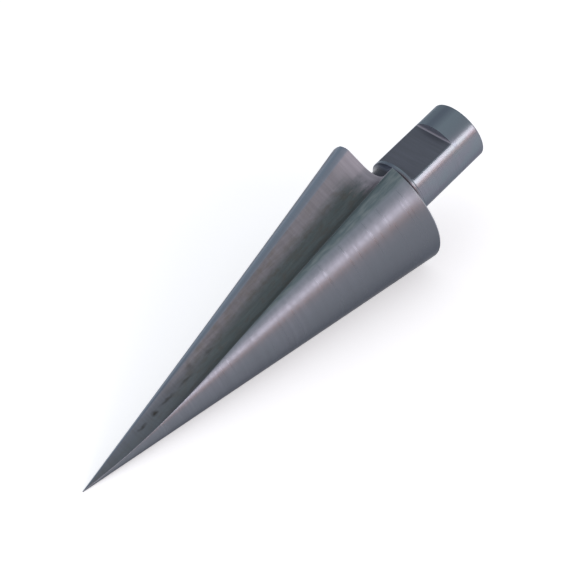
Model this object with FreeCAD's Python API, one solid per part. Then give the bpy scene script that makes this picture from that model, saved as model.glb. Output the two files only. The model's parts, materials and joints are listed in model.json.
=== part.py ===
import FreeCAD, Part
import math
import os

from FreeCAD import Vector

# Taper reamer with one straight flute, ground from a single bar of tool steel.
# It is drawn along +X, with the point at the origin and the shank at the far end.
# Angles around the axis start at +Z and turn towards -Y.
# It is then laid on its side, as it rests on a bench. Lengths are in mm, angles in degrees.

# Tapered cutter
CUTTER_DIAMETER = 20.4        # twice the reach of the cutting edge at the back
CUTTER_LENGTH = 57.7          # from where the sides would meet to the back face
POINT_BLUNTNESS = 0.3         # length missing at the point
RELIEF_DROP = 0.5             # how far the side falls away in one turn, at the back
EDGE_ANGLE = -15.0            # where the cutting edge ends at the back
BACK_BEVEL = 0.2              # small bevel round the back rim

# Bevel along the heel, the trailing side of the flute
HEEL_ANGLE = 284.0            # where it begins
HEEL_TILT = 27.0              # how far it leans in from the side
HEEL_REACH = 3.0              # how far it runs at the back, part of it into the flute

# Flute: a floor and a cutting face, at right angles, with a round corner between
FLOOR_HEIGHT_BACK = 3.2       # above the axis, and zero at the point
FACE_OFFSET_BACK = 2.45       # beside the axis
FACE_OFFSET_POINT = -2.0
FLUTE_CORNER_RADIUS = 2.8

# Neck turned behind the cutter
NECK_DEPTH = 0.5              # below the shank
NECK_LENGTH = 2.6
NECK_CORNER_RADIUS = 0.9

# Shank
SHANK_DIAMETER = 9.0
SHANK_LENGTH = 12.7           # from the neck to the end
END_CHAMFER = 0.1
SHANK_ROOT = 5.0              # length running on inside the cutter

# Milled flat on the shank
FLAT_ANGLE = -37.0            # which way it faces
FLAT_DEPTH = 1.3
FLAT_START = 0.5              # from the neck
FLAT_LENGTH = 7.9
FLAT_CORNER_RADIUS = 0.3

SPIRAL_START = -30.0          # inside the flute, ahead of the cutting edge
SPIRAL_POINTS = 37            # points through which the outline is drawn
OVERRUN = 5.0                 # how far the cuts reach past the metal
RESTING_ANGLES = range(60, 240)    # the side away from the flute

cutter_radius = CUTTER_DIAMETER / 2
shank_radius = SHANK_DIAMETER / 2
neck_end = CUTTER_LENGTH + NECK_LENGTH
shank_end = neck_end + SHANK_LENGTH


def around(x, radius, angle):
    """Point at a distance from the axis, at an angle around it."""
    turn = math.radians(angle)
    return Vector(x, -radius * math.sin(turn), radius * math.cos(turn))


def side_radius(angle):
    """Radius of the tapered side at the back, largest at the cutting edge."""
    return cutter_radius - RELIEF_DROP * (angle - EDGE_ANGLE) / 360


def outline(x, inset=0.0):
    """Closed outline of the unfluted cutter, square to the axis.

    A spiral runs from inside the flute, round the body, to the heel. A straight line along
    the heel's bevel and a second one across the flute close it.
    """
    scale = x / CUTTER_LENGTH
    step = (HEEL_ANGLE - SPIRAL_START) / (SPIRAL_POINTS - 1)
    angles = [SPIRAL_START + step * i for i in range(SPIRAL_POINTS)]
    points = [around(x, side_radius(a) * scale - inset, a) for a in angles]
    spiral = Part.BSplineCurve()
    spiral.interpolate(points)
    along = around(0, 1, HEEL_ANGLE + 90 + HEEL_TILT)
    heel_end = points[-1] + along * (HEEL_REACH * scale)
    heel = Part.LineSegment(points[-1], heel_end)
    closing = Part.LineSegment(heel_end, points[0])
    return Part.Wire([spiral.toShape(), heel.toShape(), closing.toShape()])


def cutter_blank():
    """The tapered body, with its point slightly blunt and its back rim bevelled."""
    rim = CUTTER_LENGTH - BACK_BEVEL
    taper = Part.makeLoft([outline(POINT_BLUNTNESS), outline(rim)], True, True)
    bevel = Part.makeLoft([outline(rim), outline(CUTTER_LENGTH, BACK_BEVEL)], True, True)
    return taper.fuse(bevel)


def shank_blank():
    """Neck and shank, turned as one round profile.

    The neck's groove ends in a round corner, tangent to its bottom, that rises to the shank.
    The shank's wall is in three lengths, before, beside and behind the flat.
    """
    neck = shank_radius - NECK_DEPTH
    corner = max(NECK_CORNER_RADIUS, NECK_DEPTH)
    rise = math.acos(1 - NECK_DEPTH / corner)
    groove_end = neck_end - corner * math.sin(rise)
    bend = Part.Arc(
        Vector(groove_end, 0, neck),
        Vector(groove_end + corner * math.sin(rise / 2), 0,
               neck + corner * (1 - math.cos(rise / 2))),
        Vector(neck_end, 0, shank_radius))
    root = CUTTER_LENGTH - SHANK_ROOT
    flat_start = neck_end + FLAT_START
    lines = Part.makePolygon([
        Vector(neck_end, 0, shank_radius),
        Vector(flat_start, 0, shank_radius),
        Vector(flat_start + FLAT_LENGTH, 0, shank_radius),
        Vector(shank_end - END_CHAMFER, 0, shank_radius),
        Vector(shank_end, 0, shank_radius - END_CHAMFER),
        Vector(shank_end, 0, 0),
        Vector(root, 0, 0),
        Vector(root, 0, neck),
        Vector(groove_end, 0, neck)])
    profile = Part.Face(Part.Wire(lines.Edges + [bend.toShape()]))
    return profile.revolve(Vector(0, 0, 0), Vector(1, 0, 0), 360)


def flute_cut():
    """What the flute takes away: a right-angled trough, straight from the back to the point."""
    back = CUTTER_LENGTH + OVERRUN
    run = Vector(1, (FACE_OFFSET_BACK - FACE_OFFSET_POINT) / CUTTER_LENGTH,
                 FLOOR_HEIGHT_BACK / CUTTER_LENGTH)
    corner = Vector(0, FACE_OFFSET_POINT, 0) + run * back
    wide = Vector(0, CUTTER_DIAMETER, 0)
    tall = Vector(0, 0, CUTTER_DIAMETER)
    side = Vector(0, FLUTE_CORNER_RADIUS, 0)
    rise = Vector(0, 0, FLUTE_CORNER_RADIUS)
    middle = corner + (side + rise) * (1 - math.sqrt(0.5))
    bend = Part.Arc(corner + side, middle, corner + rise).toShape()
    walls = Part.makePolygon([corner + rise, corner + tall, corner + tall + wide,
                              corner + wide, corner + side]).Edges
    profile = Part.Face(Part.Wire([bend] + walls))
    return profile.extrude(run * -(back + OVERRUN))


def flat_cut():
    """What the milled flat takes off the shank, with a round corner at each end."""
    width = SHANK_DIAMETER + OVERRUN
    floor = shank_radius - FLAT_DEPTH
    start = neck_end + FLAT_START
    block = Part.makeBox(FLAT_LENGTH, width, width, Vector(start, -width / 2, floor))
    bottom = min(block.Faces, key=lambda face: face.CenterOfMass.z)
    ends = [e for e in bottom.Edges if abs(e.tangentAt(0).x) < 0.5]
    cut = block.makeFillet(FLAT_CORNER_RADIUS, ends)
    cut.rotate(Vector(0, 0, 0), Vector(1, 0, 0), FLAT_ANGLE)
    return cut


def resting_side(centre):
    """The straight line of the side that the tool rests on, and the floor's normal there.

    Each line of the side starts at the point and has its own tangent plane. The tool comes
    to rest on the one whose plane leaves the centre of mass lowest.
    """
    falling = -RELIEF_DROP / (2 * math.pi)
    planes = []
    for angle in RESTING_ANGLES:
        radius = side_radius(angle)
        line = around(CUTTER_LENGTH, radius, angle)
        onward = around(0, radius, angle + 90) + around(0, falling, angle)
        normal = line.cross(onward).normalize()
        planes.append((normal.dot(centre), line.normalize(), normal))
    height, line, normal = min(planes, key=lambda plane: plane[0])
    return line, normal


def lay_down(tool):
    """Rest the tool on the floor, flute up, with the origin under its middle."""
    along, up = resting_side(tool.CenterOfMass)
    across = up.cross(along)
    turn = FreeCAD.Matrix(
        along.x, along.y, along.z, 0,
        across.x, across.y, across.z, 0,
        up.x, up.y, up.z, 0,
        0, 0, 0, 1)
    laid = tool.transformed(turn)
    box = laid.optimalBoundingBox(False, False)
    laid.translate(Vector(-box.Center.x, -box.Center.y, -box.ZMin))
    return laid


tool = cutter_blank().fuse(shank_blank())
tool = tool.cut(flute_cut()).cut(flat_cut())
reamer = lay_down(tool.Solids[0])

os.makedirs("parts", exist_ok=True)
reamer.exportStep("parts/taper_reamer.step")
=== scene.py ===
import json
import math

import bpy
import numpy as np
from mathutils import Matrix, Vector


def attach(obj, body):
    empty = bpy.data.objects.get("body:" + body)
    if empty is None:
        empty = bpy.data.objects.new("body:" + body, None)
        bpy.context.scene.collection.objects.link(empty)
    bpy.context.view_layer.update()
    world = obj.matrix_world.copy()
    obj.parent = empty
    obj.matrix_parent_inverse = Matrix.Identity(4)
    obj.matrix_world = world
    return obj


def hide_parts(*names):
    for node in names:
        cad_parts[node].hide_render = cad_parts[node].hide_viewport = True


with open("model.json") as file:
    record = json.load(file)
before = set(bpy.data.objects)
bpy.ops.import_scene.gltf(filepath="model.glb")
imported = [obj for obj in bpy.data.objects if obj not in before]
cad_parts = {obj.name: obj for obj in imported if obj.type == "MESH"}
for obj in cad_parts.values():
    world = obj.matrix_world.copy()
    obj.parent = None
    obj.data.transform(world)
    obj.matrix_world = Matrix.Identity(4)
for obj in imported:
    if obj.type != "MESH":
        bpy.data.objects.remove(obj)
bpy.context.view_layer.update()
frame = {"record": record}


# ---------------------------------------------------------------------------------------------
# The reamer: one bar of tool steel, turned to a taper with a round shank behind it. A straight
# flute is milled along the taper and a flat on the shank. The taper's side is ground last, which
# leaves it a cutting edge along the flute.
# ---------------------------------------------------------------------------------------------

# Lengths are in mm, angles in degrees. The tool's own axes run from the point to the shank (x),
# across the flute's floor (y) and up from it (z). Angles round it start at z and turn from y.
CUTTER_LENGTH = 57.7
CUTTER_RADIUS = 10.2          # at the back, where the cutting edge ends
RELIEF_DROP = 0.5             # how far the side falls away in one turn, at the back
EDGE_ANGLE = -15.0
POINT = 0.3
FIRST_SECTION = 1.4           # where the flute has come in, ahead of it there is only the point

HEEL_ANGLE = 284.0            # the bevel on the trailing side of the flute
HEEL_TILT = 27.0
HEEL_HOLLOW = 0.12            # how much the grinding took off the side beside it, halfway along
HOLLOW_FROM = 170.0           # the angle where that begins

# The flute's floor ends 3.2 mm above the axis, and its face crosses over to 2.45 mm beside it.
FLUTE_FLOOR_RISE = 3.2 / CUTTER_LENGTH
FLUTE_FACE_START = -2.0
FLUTE_FACE_DRIFT = (2.45 - FLUTE_FACE_START) / CUTTER_LENGTH
FLUTE_CORNER = 2.8

# How far the worn edges are rounded: the cutting edge, the heel's and the lip of the flute. Close
# to the point the first two are no more than a share of the way along.
KEEN_EDGE, WORN_EDGE, WORN_LIP = 0.05, 0.14, 0.5
FINE_SHARE = 0.02


def side_radius(angle):
    """Radius of the side at its back: it falls evenly with the angle past the cutting edge."""
    return CUTTER_RADIUS - RELIEF_DROP * (angle - EDGE_ANGLE) / 360


def hollow(scale, angle):
    """How far the side is ground in: a parabola along it, times a smooth rise to the heel."""
    near = np.clip((angle - HOLLOW_FROM) / (HEEL_ANGLE - HOLLOW_FROM), 0, 1)
    return HEEL_HOLLOW * 4 * scale * (1 - scale) * near * near * (3 - 2 * near)


def around(radius, angle):
    """Across and up, at a radius from the axis and an angle round it."""
    turn = np.radians(angle)
    return np.stack([-radius * np.sin(turn), radius * np.cos(turn)], axis=-1)


def flute_wall(x, run):
    """Point of the flute's section, run mm along it from the end of its floor.

    Before zero it lies on the level floor, then on a quarter circle, then on the upright face.
    """
    turn = np.clip(run / FLUTE_CORNER, 0, np.pi / 2)
    floor = x * FLUTE_FLOOR_RISE
    face = FLUTE_FACE_START + x * FLUTE_FACE_DRIFT
    across = face + FLUTE_CORNER * (1 - np.sin(turn)) - np.minimum(run, 0)
    up = floor + FLUTE_CORNER * (1 - np.cos(turn)) + np.maximum(run - FLUTE_CORNER * np.pi / 2, 0)
    return np.stack([across, up], axis=-1)


def outside_side(point, scale, inset):
    """How far a point of the section is outside the spiral of the side, less than zero inside."""
    angle = np.degrees(np.arctan2(-point[..., 0], point[..., 1]))
    return np.hypot(point[..., 0], point[..., 1]) - scale * side_radius(angle) + inset


def crossing(inside, outside, distance):
    """Halves the stretch between two runs until it is at the place where the distance is zero."""
    for _ in range(40):
        middle = (inside + outside) / 2
        beyond = distance(middle) > 0
        inside, outside = np.where(beyond, inside, middle), np.where(beyond, middle, outside)
    return (inside + outside) / 2


def worn(before, corner, after, steps):
    """Points round a worn edge: a quadratic curve from before to after, pulled to the corner."""
    t = ((np.arange(steps) + 1) / (steps + 1))[None, :, None]
    before, corner, after = before[:, None], corner[:, None], after[:, None]
    return (1 - t) ** 2 * before + 2 * t * (1 - t) * corner + t ** 2 * after


# Columns of the grid, in order round the section: the side, the heel's edge, its bevel, the lip,
# the flute and the cutting edge.
SIDE_TO, HEEL_TO, BEVEL_TO, LIP_TO, FLUTE_TO, COLUMNS = np.cumsum([150, 3, 5, 7, 74, 3])

FAR_OUT = 12.0                # a run along the flute's wall that is past the side everywhere
# The heel's band is painted light: a lighter, bluer tone on the bevel.
HEEL_TONE_FROM = 274.0        # angle where the heel's brighter band begins, and how soon it is full
HEEL_TONE_WITHIN = 8.0
LIP_TONE = 0.55               # how much of it is left at the lip, where it starts to fade
FAR_PAST = 9.0                # stands for "nowhere near the cutting edge"


def cutter_sections(x, inset):
    """Closed outlines of the cutter at stations x, and where each place lies round them.

    The side is a spiral whose size grows with x. The heel's bevel leans in from its end by a
    fixed angle. The flute's wall closes the outline between its crossings with both. Gives the
    share of the way round or across, the distance past the edge, and the band of painted light
    along the heel.
    """
    scale, inset = x / CUTTER_LENGTH, np.broadcast_to(inset, x.shape)
    deepest = FLUTE_CORNER * np.arcsin(np.clip(
        (FLUTE_FACE_START + x * FLUTE_FACE_DRIFT + FLUTE_CORNER) / FLUTE_CORNER, 0, 1))
    edge_run = crossing(deepest, np.full_like(x, FAR_OUT),
                        lambda run: outside_side(flute_wall(x, run), scale, inset))
    heel = around(scale * side_radius(HEEL_ANGLE) - inset - hollow(scale, HEEL_ANGLE), HEEL_ANGLE)
    lean = around(1.0, HEEL_ANGLE + 90 + HEEL_TILT)
    outward = np.array([lean[1], -lean[0]])
    heel_run = crossing(deepest, np.full_like(x, -FAR_OUT),
                        lambda run: (flute_wall(x, run) - heel) @ outward)
    edge, lip = flute_wall(x, edge_run), flute_wall(x, heel_run)
    edge_angle = np.degrees(np.arctan2(-edge[:, 0], edge[:, 1]))

    keen, soft = np.minimum(KEEN_EDGE, FINE_SHARE * x), np.minimum(WORN_EDGE, FINE_SHARE * x)
    wide = WORN_LIP * scale
    radius = scale * CUTTER_RADIUS
    first = edge_angle + np.degrees(keen / radius)
    last = HEEL_ANGLE - np.degrees(soft / radius)
    angle = first[:, None] + (last - first)[:, None] * np.linspace(0, 1, SIDE_TO)
    size = scale[:, None]
    side = around(size * side_radius(angle) - inset[:, None] - hollow(size, angle), angle)
    slope = (lip - heel) / np.linalg.norm(lip - heel, axis=1)[:, None]
    bevel_start, bevel_end = heel + soft[:, None] * slope, lip - wide[:, None] * slope
    along = np.linspace(0, 1, BEVEL_TO - HEEL_TO)[None, :, None]
    bevel = bevel_start[:, None] + (bevel_end - bevel_start)[:, None] * along
    along = np.linspace(0, 1, FLUTE_TO - LIP_TO)
    run = (heel_run + wide)[:, None] + (edge_run - keen - heel_run - wide)[:, None] * along
    flute = flute_wall(x[:, None], run)
    lip_round = worn(bevel[:, -1], lip, flute[:, 0], LIP_TO - BEVEL_TO)
    outline = np.concatenate([
        side, worn(side[:, -1], heel, bevel[:, 0], HEEL_TO - SIDE_TO), bevel,
        lip_round, flute, worn(flute[:, -1], edge, side[:, 0], COLUMNS - FLUTE_TO)], axis=1)

    share = np.full(outline.shape[:2], HEEL_ANGLE / 360)
    share[:, :SIDE_TO] = angle / 360
    width = (lip - edge)[:, :1]
    share[:, BEVEL_TO:FLUTE_TO] = (lip[:, :1] - outline[:, BEVEL_TO:FLUTE_TO, 0]) / width
    share[:, FLUTE_TO:] = angle[:, :1] / 360
    past = np.full(outline.shape[:2], FAR_PAST)
    past[:, :SIDE_TO] = np.radians(angle - first[:, None]) * radius[:, None]
    past[:, FLUTE_TO:] = 0
    heel_painted_light = np.concatenate([
        np.clip((angle - HEEL_TONE_FROM) / HEEL_TONE_WITHIN, 0, 1),
        np.broadcast_to(np.linspace(1, LIP_TONE, LIP_TO - SIDE_TO), (len(x), LIP_TO - SIDE_TO)),
        LIP_TONE * np.clip(1 - share[:, LIP_TO:FLUTE_TO] / 0.1, 0, 1),
        np.zeros((len(x), COLUMNS - FLUTE_TO))], axis=1)
    return outline, share, past, heel_painted_light


# Stations close up towards the point, where the edge moves fastest round the side. The back rim
# is rounded over more finely than the solid's plain bevel.
stations = FIRST_SECTION + (CUTTER_LENGTH - 0.2 - FIRST_SECTION) * np.linspace(0, 1, 110) ** 1.35
rim = CUTTER_LENGTH - np.array([0.15, 0.125, 0.10, 0.03, 0.01, 0])
rim_inset = np.array([0.014, 0.024, 0.045, 0.125, 0.15, 0.185])
x = np.concatenate([stations, rim])
outline, share, past, heel_painted_light = cutter_sections(
    x, np.concatenate([np.zeros(stations.size), rim_inset]))
bearing = np.degrees(np.arctan2(-outline[0, :, 0], outline[0, :, 1])) % 360
x = np.concatenate([[POINT], x])
blunt = around(POINT / CUTTER_LENGTH * side_radius(bearing), bearing)
outline = np.concatenate([blunt[None], outline])
share, past, heel_painted_light = (np.concatenate([v[:1], v]) for v in (share, past, heel_painted_light))
cutter = np.concatenate([
    np.broadcast_to(x[:, None, None], outline.shape[:2] + (1,)), outline], axis=2)
cutter_rows = len(cutter)

NECK_RADIUS = 4.0
NECK_END = 60.3
NECK_CORNER = 0.9
SHANK_RADIUS = 4.5
SHANK_END = 73.0
FLAT_ANGLE = -37.0
FLAT_HEIGHT = 3.2             # above the axis
FLAT_START, FLAT_END = 60.8, 68.7
FLAT_CORNER = 0.3
EDGE_BREAK = 0.012            # how far the shank's crisp edges are broken

# The back face runs in from the rim to the neck. Further back, the same columns go on round the
# neck and the shank, and slide round them until the flat has its own share of them.
compass = np.unwrap(np.arctan2(cutter[-1, :, 2], cutter[-1, :, 1]))
flat_middle = math.radians(90 + FLAT_ANGLE)
flat_half = math.acos(FLAT_HEIGHT / SHANK_RADIUS)
from_flat = (compass - flat_middle + np.pi) % (2 * np.pi) - np.pi
flat_columns = int((np.abs(from_flat) < flat_half).sum())
start = int(np.argmin(np.where(from_flat > flat_half, from_flat, 9)))


def shank_turns(half):
    """Angles round the shank from the flat's middle, once round from the flat's edge.

    The plain wall comes first and the flat last, evenly spaced across it. Two columns stand
    close to each of the flat's edges and keep them crisp.
    """
    close = 0.012
    plain = np.linspace(half + close, 2 * np.pi - half - close, COLUMNS - flat_columns)
    flat = np.arctan(np.linspace(-1, 1, flat_columns - 2) * math.tan(half - close)) + 2 * np.pi
    return np.concatenate([[half], plain, [2 * np.pi - half], flat])


# Rows of the turned profile: station, radius, and how high the flat is there.
NO_FLAT = 9.0


def unmilled(rows):
    """Rows of the profile clear of the flat, each from a station and a depth below the wall."""
    return [[at, SHANK_RADIUS - depth, NO_FLAT] for at, depth in rows]


rise = np.linspace(0, math.acos(1 - (SHANK_RADIUS - NECK_RADIUS) / NECK_CORNER), 8)
groove_end = NECK_END - NECK_CORNER * math.sin(rise[-1])
quarter = np.linspace(0, np.pi / 2, 6)
dip = np.stack([FLAT_START + FLAT_CORNER * (1 - np.cos(quarter)), np.full(6, SHANK_RADIUS),
                FLAT_HEIGHT + FLAT_CORNER * (1 - np.sin(quarter))], axis=1)
foot, head = FLAT_START + FLAT_CORNER, FLAT_END - FLAT_CORNER
middle = np.concatenate([[foot + 0.04], np.linspace(foot + 0.5, head - 0.5, 12), [head - 0.04]])
profile = np.concatenate([
    unmilled([(at, SHANK_RADIUS - NECK_RADIUS) for at in (58.0, 58.6, 59.2)]),
    np.stack([groove_end + NECK_CORNER * np.sin(rise),
              NECK_RADIUS + NECK_CORNER * (1 - np.cos(rise)), np.full(8, NO_FLAT)], axis=1)[:-1],
    unmilled([(NECK_END - 0.03, 0.045), (NECK_END, EDGE_BREAK), (NECK_END + 0.04, 0),
              (FLAT_START - 0.04, 0), (FLAT_START - 0.01, EDGE_BREAK)]),
    dip,
    np.stack([middle, np.full(14, SHANK_RADIUS), np.full(14, FLAT_HEIGHT)], axis=1),
    (dip * [-1, 1, 1] + [FLAT_START + FLAT_END, 0, 0])[::-1],
    unmilled([(FLAT_END + 0.01, EDGE_BREAK), (FLAT_END + 0.04, 0)]),
    unmilled([(at, 0) for at in (69.6, 70.6, 71.6, 72.4, 72.84)]),
    unmilled([(SHANK_END - 0.12, 0.002), (SHANK_END - 0.09, 0.014), (SHANK_END - 0.015, 0.089),
              (SHANK_END - 0.005, 0.11), (SHANK_END, 0.14)]),
    unmilled([(SHANK_END, depth) for depth in (1.1, 1.9, 2.7, 3.5, 4.2)])])
at, radius, height = profile.T
has_flat = height < radius
half = np.arccos(np.where(has_flat, height, FLAT_HEIGHT + FLAT_CORNER) / SHANK_RADIUS)
turns = np.stack([shank_turns(h) for h in half])
from_neck = np.clip((at - CUTTER_LENGTH) / (groove_end - CUTTER_LENGTH), 0, 1)[:, None]
cutter_turns = np.unwrap(np.roll(compass, -start)) - flat_middle
cutter_turns += 2 * np.pi * np.round((turns[0].mean() - cutter_turns.mean()) / (2 * np.pi))
turns = (1 - from_neck) * cutter_turns + from_neck * turns
wall = np.broadcast_to(radius[:, None], turns.shape).copy()
level = height[:, None] / np.maximum(np.cos(turns), 0.05)
milled = has_flat[:, None] & (np.cos(turns) > np.cos(half)[:, None] - 1e-9) & (level <= wall + 1e-6)
wall[milled] = level[milled]
corners = np.zeros(COLUMNS, bool)
corners[[0, COLUMNS - flat_columns + 1]] = True
wall[has_flat[:, None] & corners] -= EDGE_BREAK
shank = np.stack([np.broadcast_to(at[:, None], wall.shape),
                  wall * np.cos(turns + flat_middle), wall * np.sin(turns + flat_middle)], axis=2)
shank, milled = np.roll(shank, start, axis=1), np.roll(milled, start, axis=1)

neck_ring = np.stack([np.full(COLUMNS, CUTTER_LENGTH), NECK_RADIUS * np.cos(compass),
                      NECK_RADIUS * np.sin(compass)], axis=1)
inward = np.linspace(0, 1, 6)[1:, None, None]
back = cutter[-1] * (1 - inward) + neck_ring * inward

points = np.concatenate([cutter, back, shank])
rows = len(points)
shank_from = cutter_rows + len(back)

BACK_FACE = 10.0              # what the back face adds to the way along the profile

# What the finishes follow: how far along the turned profile a place is, how far round the side
# or across the flute it lies, how far past the cutting edge, how much of the heel's band of
# painted light it gets, and how worn an edge is, with a painted highlight on it.
feed = points[..., 0].copy()
girth = np.hypot(points[..., 1], points[..., 2])
feed[cutter_rows - 1:shank_from] = CUTTER_LENGTH + CUTTER_RADIUS - girth[cutter_rows - 1:shank_from]
feed[shank_from:] += BACK_FACE
feed[-5:] += SHANK_RADIUS - girth[-5:]
share = np.concatenate([share, np.zeros((rows - cutter_rows, COLUMNS))])
past = np.concatenate([past, np.full((rows - cutter_rows, COLUMNS), FAR_PAST)])
heel_painted_light = np.concatenate([heel_painted_light, np.zeros((rows - cutter_rows, COLUMNS))])
# Worn edges are lighter, partly from wear and partly as a painted highlight.
wear_and_glint = np.zeros((rows, COLUMNS))
wear_and_glint[:cutter_rows, SIDE_TO:HEEL_TO] = 0.3
wear_and_glint[:cutter_rows, FLUTE_TO:] = 0.12
# A painted highlight lies along the rim on top of its wear. It shows less where the painted
# green reflection lies, which ends where share is zero.
wear_and_glint[1 + len(stations):cutter_rows, :SIDE_TO] = np.clip(
    share[cutter_rows - 1, :SIDE_TO] * 40, 0.12, 0.65)

# The tool lies where its mounts were packed: the shank gives its axis, and the flat its turn.
mounts = {mount["name"]: mount for mount in frame["record"]["mounts"]}
along = Vector(mounts["shank"]["axis"]).normalized()
flat_normal = Vector(mounts["shank_flat"]["axis"])
flat_normal = (flat_normal - flat_normal.dot(along) * along).normalized()
upward = Matrix.Rotation(math.radians(-FLAT_ANGLE), 3, along) @ flat_normal
across = upward.cross(along)
end = Vector(mounts["shank_end"]["pos_m"])
lie = np.array([along, across, upward])
place = np.array(end - along * SHANK_END / 1000)

vertices = np.concatenate([points.reshape(-1, 3), [[POINT, 0, 0], [SHANK_END, 0, 0]]])
vertices = vertices / 1000 @ lie + place
number = np.arange(rows * COLUMNS).reshape(rows, COLUMNS)
beside = np.roll(number, -1, axis=1)
quads = np.stack([number[:-1], beside[:-1], beside[1:], number[1:]], axis=2).reshape(-1, 4)
tip = np.stack([np.full(COLUMNS, rows * COLUMNS), beside[0], number[0]], axis=1)
tail = np.stack([number[-1], beside[-1], np.full(COLUMNS, rows * COLUMNS + 1)], axis=1)
mesh = bpy.data.meshes.new("taper_reamer_ground")
mesh.from_pydata(vertices, [], quads.tolist() + tip.tolist() + tail.tolist())
mesh.polygons.foreach_set("use_smooth", np.ones(len(mesh.polygons), bool))

SIDE, FLUTE, TURNED, FLAT = range(4)
finish = np.full((rows - 1, COLUMNS), TURNED)
finish[:cutter_rows - 1] = SIDE
finish[:cutter_rows - 1, BEVEL_TO - 1:FLUTE_TO] = FLUTE
both = milled[:-1] | milled[1:]
finish[shank_from:][both & np.roll(both, -1, axis=1)] = FLAT
mesh.polygons.foreach_set("material_index", np.concatenate([
    finish.ravel(), np.full(COLUMNS, SIDE), np.full(COLUMNS, TURNED)]).astype(np.int32))
mesh.set_sharp_from_angle(angle=math.radians(26))

tool = np.concatenate([np.stack([feed, points[..., 1], points[..., 2]], axis=2).reshape(-1, 3),
                       [[POINT, 0, 0], [SHANK_END + BACK_FACE + 5, 0, 0]]])
mesh.attributes.new("tool", "FLOAT_VECTOR", "POINT").data.foreach_set("vector", tool.ravel())
for name, values, ends in (("share", share, [0.2, 0]), ("past", past, [FAR_PAST, FAR_PAST]),
                           ("heel_painted_light", heel_painted_light, [0, 0]), ("wear_and_glint", wear_and_glint, [0, 0])):
    values = np.append(values.ravel(), ends)
    mesh.attributes.new(name, "FLOAT", "POINT").data.foreach_set("value", values)
reamer = bpy.data.objects.new("taper_reamer_ground", mesh)
bpy.context.scene.collection.objects.link(reamer)


def linear(colour):
    """Linear colour of an sRGB hex value."""
    parts = [int(colour[i:i + 2], 16) / 255 for i in (1, 3, 5)]
    return [p / 12.92 if p <= 0.04045 else ((p + 0.055) / 1.055) ** 2.4 for p in parts] + [1.0]


def node(tree, kind, inputs=(), give=0, **settings):
    """Adds a node with its settings, and a value or a link for each input. Gives one output."""
    made = tree.nodes.new("ShaderNode" + kind)
    for name, value in settings.items():
        setattr(made, name, value)
    for socket, value in dict(inputs).items():
        if isinstance(value, bpy.types.NodeSocket):
            tree.links.new(value, made.inputs[socket])
        else:
            made.inputs[socket].default_value = value
    return made.outputs[give]


def steel(name, **sockets):
    """A bare steel on the reamer, whose outline shines no brighter than real steel's.

    Gives its node tree, its shader and the place in the tool's own mm.
    """
    material = bpy.data.materials.new(name)
    material.use_nodes = True
    tree = material.node_tree
    shader = tree.nodes["Principled BSDF"]
    shader.inputs["Metallic"].default_value = 1.0
    shader.inputs["Specular Tint"].default_value = linear("#b8babf")
    for socket, value in sockets.items():
        shader.inputs[socket].default_value = value
    reamer.data.materials.append(material)
    return tree, shader, node(tree, "Attribute", give="Vector", attribute_name="tool")


COLOUR = {"data_type": "RGBA", "give": 2}

# Ground tool steel. The wheel runs round the taper and leaves fine rings, drawn half a
# millimetre apart so that they show, which make the bright band flicker along its length.
# A greenish reflection is painted along the cutting edge as a film, with painted shade on a
# narrow strip just past the edge, and a painted reflection makes the steel paler beside it. The
# heel's bevel has a painted lighter band, and the worn edges and rim a painted highlight.
tree, shader, place = steel("ground_tool_steel")
share = node(tree, "Attribute", give="Fac", attribute_name="share")
station = node(tree, "SeparateXYZ", {0: place})
spread = node(tree, "Mapping", {"Vector": place, "Scale": (2.2, 0.05, 0.05)})
rings = node(tree, "TexNoise", {"Vector": spread, "Scale": 1.0, "Detail": 1.5, "Roughness": 0.6})
spread = node(tree, "Mapping", {"Vector": place, "Scale": (0.16, 0.4, 0.4)})
cloud = node(tree, "TexNoise", {"Vector": spread, "Scale": 1.0, "Detail": 3.0, "Roughness": 0.6})
spread = node(tree, "Mapping", {"Vector": place, "Scale": (0.25, 3.0, 3.0)})
scratches = node(tree, "TexNoise",
                 {"Vector": spread, "Scale": 1.0, "Detail": 2.0, "Roughness": 0.5})
ringed = node(tree, "MapRange", {0: rings, 1: 0.3, 2: 0.7})
clouded = node(tree, "MapRange", {0: cloud, 1: 0.35, 2: 0.65})
tone = node(tree, "Mix", {0: ringed, 6: linear("#696c74"), 7: linear("#73767f")}, **COLOUR)
tone = node(tree, "Mix", {0: clouded, 6: tone, 7: linear("#696e75")}, **COLOUR)
spread = node(tree, "Mapping", {"Vector": place, "Scale": (0.8, 0.02, 0.02)})
broad = node(tree, "TexNoise", {"Vector": spread, "Scale": 1.0, "Detail": 1.0, "Roughness": 0.5})
broad = node(tree, "MapRange", {0: broad, 1: 0.35, 2: 0.65, 3: 0.0, 4: 0.5})
tone = node(tree, "Mix", {0: broad, 6: tone, 7: linear("#64676e")}, **COLOUR)
duller = node(tree, "MapRange", {0: station, 1: 14.0, 2: 52.0, 3: 0.0, 4: 0.8})
tone = node(tree, "Mix", {0: duller, 6: tone, 7: linear("#62666d")}, **COLOUR)
# Painted reflection: a paler band just past the green strip.
plateau_reflection = node(tree, "MapRange", {0: share, 1: 0.0, 2: 0.026, 3: 1.0, 4: 0.0})
tone = node(tree, "Mix", {0: plateau_reflection, 6: tone, 7: linear("#7e858d")}, **COLOUR)
# Painted reflection: a greenish strip along the cutting edge, drawn as a film with streaks.
green_reflection_strip = node(tree, "MapRange", {0: share, 1: -0.01, 2: 0.0, 3: 1.0, 4: 0.0})
reflection_streaks = node(tree, "MapRange", {0: scratches, 1: 0.4, 2: 0.65})
painted_light_film = node(tree, "Mix", {0: reflection_streaks, 6: linear("#616f73"), 7: linear("#747f81")}, **COLOUR)
tone = node(tree, "Mix", {0: green_reflection_strip, 6: tone, 7: painted_light_film}, **COLOUR)
past = node(tree, "Attribute", give="Fac", attribute_name="past")
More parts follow.
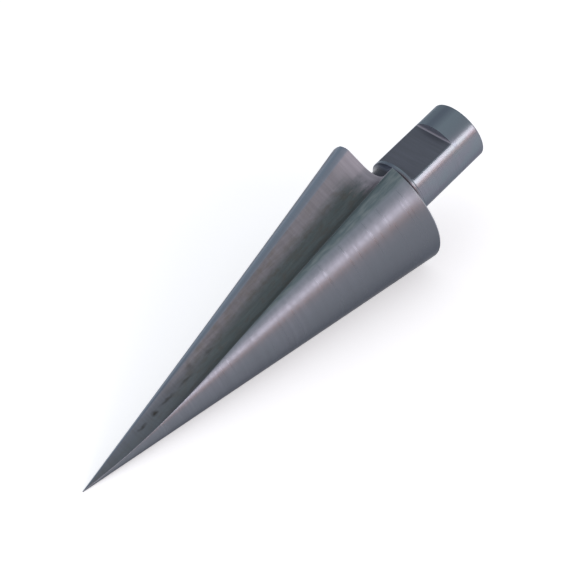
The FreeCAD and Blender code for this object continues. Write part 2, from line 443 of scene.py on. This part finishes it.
# Painted shade on a narrow strip just past the cutting edge, growing towards the back.
edge_shade = node(tree, "MapRange", {0: past, 1: 0.12, 2: 0.42, 3: 1.0, 4: 0.0})
grown = node(tree, "MapRange", {0: station, 1: 27.0, 2: 44.0, 3: 0.0, 4: 0.8})
ended = node(tree, "MapRange", {0: station, 1: 55.5, 2: 57.0, 3: 1.0, 4: 0.0})
edge_shade = node(tree, "Math", {0: edge_shade, 1: grown}, operation="MULTIPLY")
edge_shade = node(tree, "Math", {0: edge_shade, 1: ended}, operation="MULTIPLY")
tone = node(tree, "Mix", {0: edge_shade, 6: tone, 7: linear("#4f5b5e")}, **COLOUR)
heel_painted_light = node(tree, "Attribute", give="Fac", attribute_name="heel_painted_light")
# Painted light: a lighter, bluer band along the heel's bevel.
tone = node(tree, "Mix", {0: heel_painted_light, 6: tone, 7: linear("#83909e")}, **COLOUR)
worn_or_glinting_edge = node(tree, "Attribute", give="Fac", attribute_name="wear_and_glint")
# Worn edges lighter, partly wear and partly painted highlight.
tone = node(tree, "Mix", {0: worn_or_glinting_edge, 6: tone, 7: linear("#b6b9c0")}, **COLOUR)
tree.links.new(tone, shader.inputs["Base Color"])
rough = node(tree, "MapRange", {0: rings, 1: 0.32, 2: 0.68, 3: 0.27, 4: 0.35})
tree.links.new(node(tree, "Mix", {0: green_reflection_strip, 2: rough, 3: 0.4}), shader.inputs["Roughness"])
tree.links.new(node(tree, "Bump", {"Height": rings, "Distance": 0.00001}), shader.inputs["Normal"])

# Milled steel under a thin brown film. The cutter's fine marks run across the flute. Painted
# shade darkens its corner, in streaks that thin out before its back end and weaken towards the
# point. Oil and dust have left spots near the point, where the film is worn off.
tree, shader, place = steel("milled_flute_steel", Roughness=0.5)
share = node(tree, "Attribute", give="Fac", attribute_name="share")
station = node(tree, "SeparateXYZ", {0: place})
spread = node(tree, "Mapping", {"Vector": place, "Scale": (0.16, 2.4, 2.4)})
streaks = node(tree, "TexNoise", {"Vector": spread, "Scale": 1.0, "Detail": 4.0, "Roughness": 0.65})
spread = node(tree, "Mapping", {"Vector": place, "Scale": (0.6, 1.4, 1.4)})
mottle = node(tree, "TexNoise", {"Vector": spread, "Scale": 1.0, "Detail": 5.0, "Roughness": 0.7})
spread = node(tree, "Mapping", {"Vector": place, "Scale": (2.2, 0.12, 0.12)})
cuts = node(tree, "TexNoise", {"Vector": spread, "Scale": 1.0, "Detail": 1.0, "Roughness": 0.5})
marked = node(tree, "MapRange", {0: streaks, 1: 0.3, 2: 0.7})
tone = node(tree, "Mix", {0: marked, 6: linear("#6c6c70"), 7: linear("#7d7c81")}, **COLOUR)
stained = node(tree, "MapRange", {0: mottle, 1: 0.45, 2: 0.65, 3: 0.0, 4: 0.6})
tone = node(tree, "Mix", {0: stained, 6: tone, 7: linear("#68655f")}, **COLOUR)
worn_bare = node(tree, "MapRange", {0: station, 1: 13.0, 2: 25.0, 3: 0.85, 4: 0.0})
tone = node(tree, "Mix", {0: worn_bare, 6: tone, 7: linear("#6f767e")}, **COLOUR)
# Lighter towards the back end.
lighter_to_back = node(tree, "MapRange", {0: station, 1: 38.0, 2: 55.0, 3: 0.0, 4: 0.85})
tone = node(tree, "Mix", {0: lighter_to_back, 6: tone, 7: linear("#8f8d93")}, **COLOUR)
lightest_at_back = node(tree, "MapRange", {0: station, 1: 54.0, 2: 57.0, 3: 0.0, 4: 0.9})
tone = node(tree, "Mix", {0: lightest_at_back, 6: tone, 7: linear("#a5a1a9")}, **COLOUR)
cut = node(tree, "MapRange", {0: cuts, 1: 0.35, 2: 0.65, 3: 0.0, 4: 0.22})
tone = node(tree, "Mix", {0: cut, 6: tone, 7: linear("#5d5c60")}, **COLOUR)
# Painted shade darkens the flute's corner, ragged in streaks, weaker towards the point and gone
# before the back end.
ragged_share = node(tree, "Math", {0: mottle, 1: 0.35, 2: share}, operation="MULTIPLY_ADD")
ragged_share = node(tree, "Math", {0: streaks, 1: 0.35, 2: ragged_share}, operation="MULTIPLY_ADD")
corner = node(tree, "MapRange", {0: ragged_share, 1: 0.66, 2: 0.98})
run_out = node(tree, "Math", {0: mottle, 1: 6.0, 2: station}, operation="MULTIPLY_ADD")
shade_fades_back = node(tree, "MapRange", {0: run_out, 1: 56.8, 2: 59.2, 3: 1.0, 4: 0.0})
shade_grows = node(tree, "MapRange", {0: station, 1: 12.0, 2: 26.0, 3: 0.4, 4: 1.0})
painted_corner_shade = node(tree, "Math", {0: corner, 1: shade_fades_back}, operation="MULTIPLY")
painted_corner_shade = node(tree, "Math", {0: painted_corner_shade, 1: shade_grows}, operation="MULTIPLY")
corner_shade_colour = node(tree, "Mix", {0: marked, 6: linear("#525a5b"), 7: linear("#616a6b")}, **COLOUR)
rusty = node(tree, "MapRange", {0: mottle, 1: 0.48, 2: 0.62, 3: 0.0, 4: 0.7})
corner_shade_colour = node(tree, "Mix", {0: rusty, 6: corner_shade_colour, 7: linear("#5b5a56")}, **COLOUR)
tone = node(tree, "Mix", {0: painted_corner_shade, 6: tone, 7: corner_shade_colour}, **COLOUR)
wobble = node(tree, "TexNoise", {"Vector": place, "Scale": 1.6, "Detail": 2.0}, give=1)
ragged = node(tree, "VectorMath", {0: wobble, 1: (0.8, 0.5, 0), 2: place}, operation="MULTIPLY_ADD")
spots = 0.0
for middle_x, middle_y, long, wide, strength in (
        (11.5, 0.65, 0.8, 0.22, 0.65), (13.8, 0.83, 0.55, 0.34, 0.9), (16.3, 1.02, 1.3, 0.22, 0.65),
        (19.8, 1.1, 1.3, 0.18, 0.55), (21.4, 2.13, 0.5, 0.4, 0.35), (24.5, 1.8, 0.6, 0.3, 0.45)):
    near = node(tree, "Mapping", {
        "Vector": ragged, "Location": (-(middle_x + 0.4) / long, -(middle_y + 0.25) / wide, 0),
        "Scale": (1 / long, 1 / wide, 0)})
    near = node(tree, "VectorMath", {0: near}, give="Value", operation="LENGTH")
    near = node(tree, "MapRange", {0: near, 1: 0.3, 2: 1.3, 3: strength, 4: 0.0})
    spots = node(tree, "Math", {0: spots, 1: near}, operation="MAXIMUM")
tone = node(tree, "Mix", {0: spots, 6: tone, 7: linear("#3f3d3a")}, **COLOUR)
# Painted light: a lighter, bluer band on the heel's side of the flute, brighter towards the back.
heel_bright = node(tree, "MapRange", {0: station, 1: 16.0, 2: 27.0})
heel_tone = node(tree, "Mix",
                 {0: heel_bright, 6: linear("#747e8c"), 7: linear("#83909e")}, **COLOUR)
heel_painted_light = node(tree, "Attribute", give="Fac", attribute_name="heel_painted_light")
tone = node(tree, "Mix", {0: heel_painted_light, 6: tone, 7: heel_tone}, **COLOUR)
tree.links.new(tone, shader.inputs["Base Color"])
tree.links.new(node(tree, "MapRange", {0: painted_corner_shade, 3: 1.0, 4: 0.5}), shader.inputs["Metallic"])
bump = node(tree, "Bump", {"Height": streaks, "Distance": 0.00001})
tree.links.new(bump, shader.inputs["Normal"])

# Turned steel. The lathe's feed leaves rings a fifth of a millimetre apart. The side turned to
# the flute has a painted cool reflection, with a painted darker reflection band in it. The neck
# behind the cutter is dull, with painted shade in its groove, darkest on top and lighter up its
# rise, and a brownish film of grinding dust and oil in front.
tree, shader, place = steel("turned_tool_steel", Roughness=0.27)
spread = node(tree, "Mapping", {"Vector": place, "Scale": (4.0, 0.03, 0.03)})
rings = node(tree, "TexNoise", {"Vector": spread, "Scale": 1.0, "Detail": 2.0, "Roughness": 0.5})
spread = node(tree, "Mapping", {"Vector": place, "Scale": (0.3, 0.6, 0.6)})
cloud = node(tree, "TexNoise", {"Vector": spread, "Scale": 1.0, "Detail": 3.0, "Roughness": 0.5})
ringed = node(tree, "MapRange", {0: rings, 1: 0.3, 2: 0.7})
clouded = node(tree, "MapRange", {0: cloud, 1: 0.35, 2: 0.65})
tone = node(tree, "Mix", {0: ringed, 6: linear("#72747e"), 7: linear("#7a7c86")}, **COLOUR)
tone = node(tree, "Mix", {0: clouded, 6: tone, 7: linear("#737b83")}, **COLOUR)
sideways = node(tree, "SeparateXYZ", {0: place}, give=1)
# Painted reflection: a cool, lighter tone on the side turned to the flute.
cool_reflection = node(tree, "MapRange", {0: sideways, 1: -1.5, 2: 1.5})
tone = node(tree, "Mix", {0: cool_reflection, 6: tone, 7: linear("#7a868e")}, **COLOUR)
# Painted reflection: a darker band on that side.
dark_reflection = node(tree, "MapRange", {0: sideways, 1: 2.0, 2: 3.0})
border = node(tree, "MapRange", {0: sideways, 1: 3.4, 2: 4.0, 3: 1.0, 4: 0.0})
dark_reflection = node(tree, "Math", {0: dark_reflection, 1: border}, operation="MULTIPLY")
tone = node(tree, "Mix", {0: dark_reflection, 6: tone, 7: linear("#66707b")}, **COLOUR)
station = node(tree, "SeparateXYZ", {0: place})
neck_end = NECK_END + BACK_FACE
# Painted shade in the neck's groove, darkest on top and lighter up its rise; a brownish film in
# front.
rising = node(tree, "MapRange", {0: station, 1: neck_end - 0.8, 2: neck_end - 0.2})
painted_light_film = node(tree, "Mix", {0: rising, 6: linear("#2f333c"), 7: linear("#5a6170")}, **COLOUR)
shaded_top = node(tree, "MapRange", {0: sideways, 1: 0.8, 2: 2.2})
painted_light_film = node(tree, "Mix", {0: shaded_top, 6: linear("#5d585e"), 7: painted_light_film}, **COLOUR)
neck_film_and_shade = node(tree, "MapRange",
              {0: station, 1: neck_end - 0.05, 2: neck_end + 0.35, 3: 1.0, 4: 0.0})
tone = node(tree, "Mix", {0: neck_film_and_shade, 6: tone, 7: painted_light_film}, **COLOUR)
tree.links.new(tone, shader.inputs["Base Color"])
tree.links.new(node(tree, "MapRange", {0: neck_film_and_shade, 3: 1.0, 4: 0.3}), shader.inputs["Metallic"])
tree.links.new(node(tree, "Bump", {"Height": rings, "Distance": 0.000004}), shader.inputs["Normal"])

# The milled flat, with the faint lines of an end mill across it and a dull grey film. The step
# at its far end is painted lighter to lift its shade, with a painted highlight along its foot,
# where the fillet catches the light.
tree, shader, place = steel("milled_flat_steel", Roughness=0.4, Metallic=0.3)
spread = node(tree, "Mapping", {"Vector": place, "Scale": (3.0, 0.2, 0.2)})
lines = node(tree, "TexNoise", {"Vector": spread, "Scale": 1.0, "Detail": 2.0, "Roughness": 0.5})
lined = node(tree, "MapRange", {0: lines, 1: 0.3, 2: 0.7})
tone = node(tree, "Mix", {0: lined, 6: linear("#52575f"), 7: linear("#585d67")}, **COLOUR)
station = node(tree, "SeparateXYZ", {0: place})
far_end = node(tree, "Math", {0: station, 1: 75.0}, operation="GREATER_THAN")
upright = (0, -math.sin(math.radians(FLAT_ANGLE)), math.cos(math.radians(FLAT_ANGLE)))
height = node(tree, "VectorMath", {0: place, 1: upright}, give="Value", operation="DOT_PRODUCT")
on_step = node(tree, "MapRange", {0: height, 1: FLAT_HEIGHT + 0.01, 2: FLAT_HEIGHT + 0.06})
on_step = node(tree, "Math", {0: on_step, 1: far_end}, operation="MULTIPLY")
# Painted highlight along the foot of the step, where its fillet catches the light.
fillet_highlight = node(tree, "MapRange",
              {0: height, 1: FLAT_HEIGHT + 0.2, 2: FLAT_HEIGHT + 0.4, 3: 1.0, 4: 0.0})
fillet_highlight = node(tree, "Math", {0: fillet_highlight, 1: on_step}, operation="MULTIPLY")
# Painted light: the step at the far end is lighter, to lift its shade.
tone = node(tree, "Mix", {0: on_step, 6: tone, 7: linear("#7d818f")}, **COLOUR)
tone = node(tree, "Mix", {0: fillet_highlight, 6: tone, 7: linear("#9a98a3")}, **COLOUR)
tree.links.new(tone, shader.inputs["Base Color"])
tree.links.new(node(tree, "Bump", {"Height": lines, "Distance": 0.000004}), shader.inputs["Normal"])

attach(reamer, "root")
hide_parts("taper_reamer")


# ---------------------------------------------------------------------------------------------
# The table that the tool lies on: plain white board, matt. It shows as white to the camera and
# in the steel, and keeps the tool's soft shadow.
# ---------------------------------------------------------------------------------------------

board = bpy.data.meshes.new("table_top")
board.from_pydata([(-3, -3, 0), (3, -3, 0), (3, 3, 0), (-3, 3, 0)], [], [(0, 1, 2, 3)])
table_top = bpy.data.objects.new("table_top", board)
bpy.context.scene.collection.objects.link(table_top)
paint = bpy.data.materials.new("white_board")
paint.use_nodes = True
tree = paint.node_tree
shader = tree.nodes["Principled BSDF"]
shader.inputs["Base Color"].default_value = linear("#f7f7f7")
shader.inputs["Roughness"].default_value = 0.9
camera_ray = node(tree, "LightPath", give="Is Camera Ray")
glossy_ray = node(tree, "LightPath", give="Is Glossy Ray")
glass_ray = node(tree, "LightPath", give="Is Transmission Ray")
seen = node(tree, "Math", {0: camera_ray, 1: glossy_ray}, operation="MAXIMUM")
seen = node(tree, "Math", {0: seen, 1: glass_ray}, operation="MAXIMUM")
shader.inputs["Emission Color"].default_value = (1, 1, 1, 1)
tree.links.new(node(tree, "Math", {0: seen, 1: 0.4}, operation="MULTIPLY"),
               shader.inputs["Emission Strength"])
board.materials.append(paint)


# ---------------------------------------------------------------------------------------------
# Soft light. The room is an even grey. A low soft box beside the camera lays the bright band along
# the taper and a smaller one the shank's. A warm one under them gives both their brown border.
# ---------------------------------------------------------------------------------------------

world = bpy.data.worlds.new("room")
world.use_nodes = True
world.node_tree.nodes["Background"].inputs["Color"].default_value = linear("#f2f5fb")
world.node_tree.nodes["Background"].inputs["Strength"].default_value = 0.72
bpy.context.scene.world = world


def soft_box(name, colour, place, width, length, watts):
    """A rectangular lamp that faces the middle of the tool, with its width level."""
    lamp = bpy.data.lights.new(name, "AREA")
    lamp.shape, lamp.color = "RECTANGLE", linear(colour)[:3]
    lamp.size, lamp.size_y, lamp.energy = width, length, watts
    box = bpy.data.objects.new(name, lamp)
    box.location = place
    box.rotation_mode = "QUATERNION"
    box.rotation_quaternion = (Vector((0, 0, 0.008)) - Vector(place)).to_track_quat("-Z", "Y")
    bpy.context.scene.collection.objects.link(box)


soft_box("key_box", "#fff0f4", (-0.02, -0.55, 0.232), 0.4, 0.12, 0.84)
soft_box("shank_box", "#fff0ec", (0.265, -0.53, 0.228), 0.15, 0.15, 0.41)
soft_box("warm_box", "#ffb896", (0.06, -0.56, 0.1), 0.56, 0.08, 0.23)


# ---------------------------------------------------------------------------------------------
# The camera looks down on the tool from beside its point, through a long lens, and is rolled so
# that the tool lies across the picture as in the photo.
# ---------------------------------------------------------------------------------------------

lens = bpy.data.cameras.new("camera")
lens.lens, lens.sensor_width = 136.552, 36
lens.clip_start, lens.clip_end = 0.02, 20
camera = bpy.data.objects.new("camera", lens)
camera.location = (-0.1273710, -0.1890777, 0.1860408)
aim = (Vector((0.0016227, -0.0003065, 0.0073471)) - camera.location).to_track_quat("-Z", "Y")
camera.rotation_mode = "QUATERNION"
camera.rotation_quaternion = aim @ Matrix.Rotation(math.radians(-13.480), 3, "Z").to_quaternion()
bpy.context.scene.collection.objects.link(camera)
bpy.context.scene.camera = camera
bpy.context.scene.view_settings.view_transform = "Standard"
